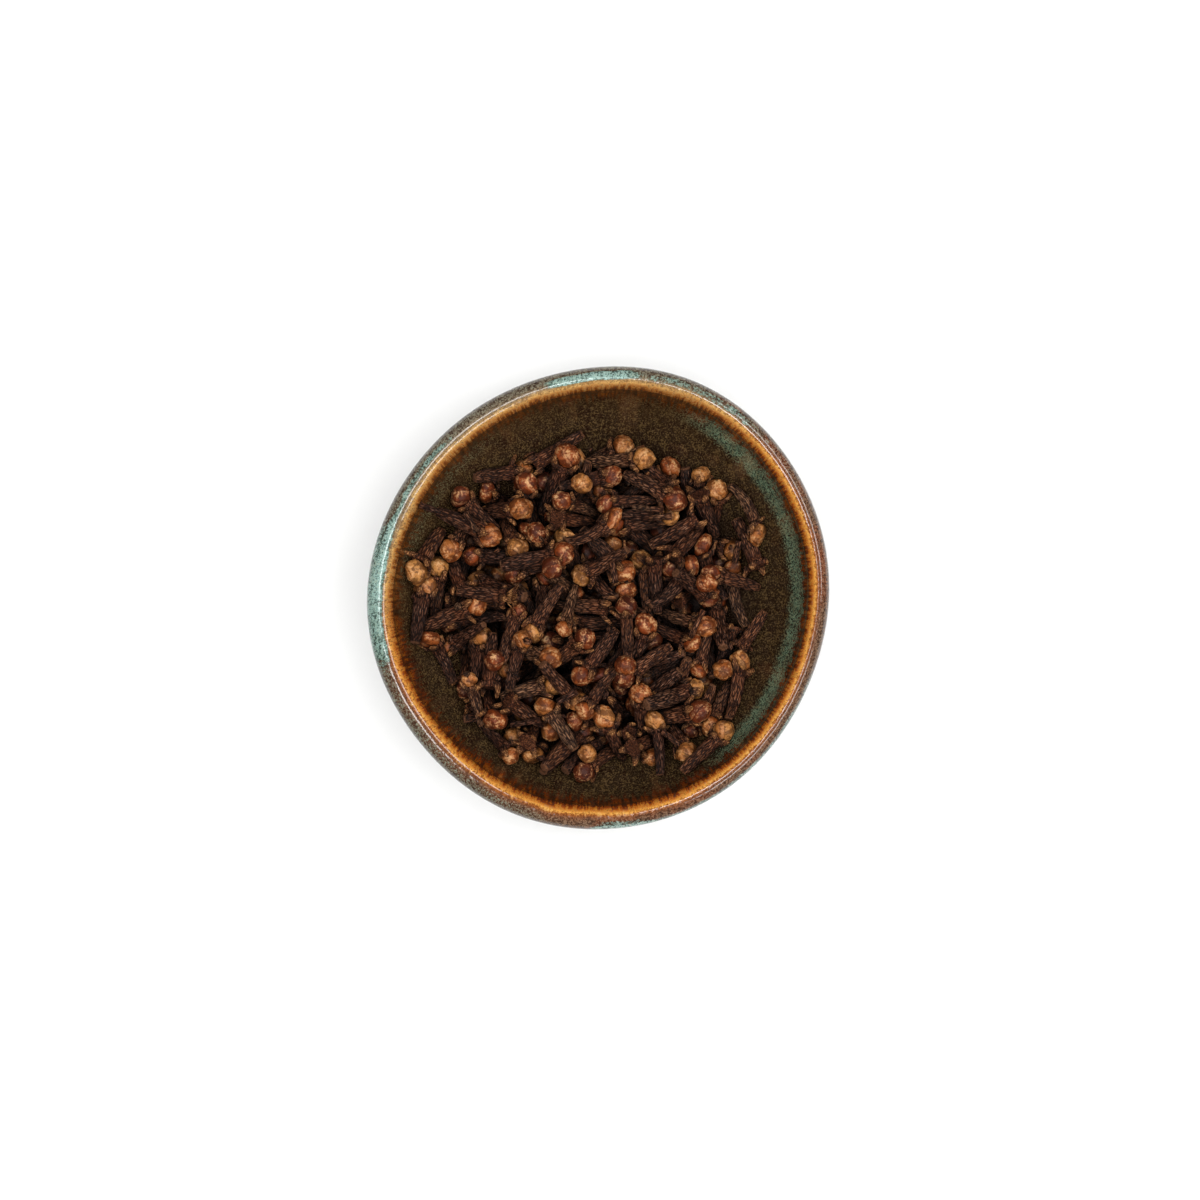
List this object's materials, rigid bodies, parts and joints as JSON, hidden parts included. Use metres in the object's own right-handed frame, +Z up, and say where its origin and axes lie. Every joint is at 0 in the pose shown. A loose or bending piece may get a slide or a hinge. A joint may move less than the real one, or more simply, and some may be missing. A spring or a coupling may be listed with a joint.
{
  "type": "dish of whole cloves",
  "caption": "Small hand-made stoneware dish with a mottled brown and turquoise glaze, a rounded lip and a foot ring, heaped with dried whole cloves.",
  "frame": {"origin": "on the table under the middle of the dish's outline", "axes": "+Z up out of the dish; +X and +Y in the table plane, with the thickest wall at -X"},
  "size_m": [0.088, 0.0884, 0.0367],
  "materials": {
    "reactive_glaze": "glossy brown and turquoise glaze that breaks to amber inside the lip",
    "clove_brown": "dry, wrinkled dark brown"
  },
  "bodies": {
    "root": {"dish": "reactive_glaze", "cloves": "clove_brown"}
  },
  "joints": []
}
